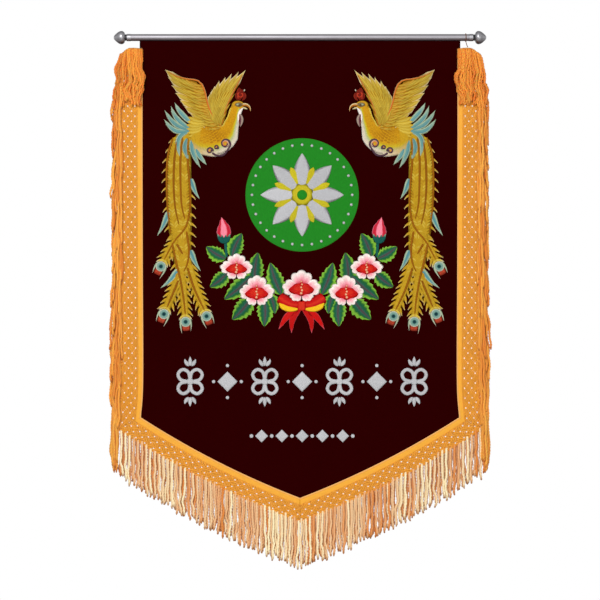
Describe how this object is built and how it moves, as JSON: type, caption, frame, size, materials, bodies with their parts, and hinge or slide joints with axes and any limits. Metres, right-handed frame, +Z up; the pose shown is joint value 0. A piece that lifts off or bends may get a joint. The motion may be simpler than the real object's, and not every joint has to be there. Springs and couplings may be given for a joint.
{
  "type": "fringed club flag with its hanging rod",
  "caption": "Five-sided embroidered cloth flag edged with net fringe, hung by its top hem from a metal rod with finials.",
  "frame": {"origin": "on the rod's axis at the middle of its length, where the flag hangs from", "axes": "+X along the rod to the viewer's right, +Y away from the viewer so that the embroidered front faces -Y, +Z up"},
  "size_m": [0.7178, 0.0271, 1.0103],
  "materials": {
    "rod_metal": "satin, faint lengthwise brushing",
    "finial_metal": "polished",
    "neck_plastic": "black",
    "panel_cloth": "dark maroon, close weave, with silk embroidery",
    "fringe_yarn": "golden viscose yarn, lustrous",
    "tie_thread": "brown thread"
  },
  "bodies": {
    "root": {"rod": "rod_metal", "panel": "panel_cloth", "neck_left": "neck_plastic", "finial_left": "finial_metal", "fringe_side_left": "fringe_yarn", "fringe_lower_left": "fringe_yarn", "neck_right": "neck_plastic", "finial_right": "finial_metal", "fringe_side_right": "fringe_yarn", "fringe_lower_right": "fringe_yarn", "tie_right": "tie_thread"}
  },
  "joints": []
}
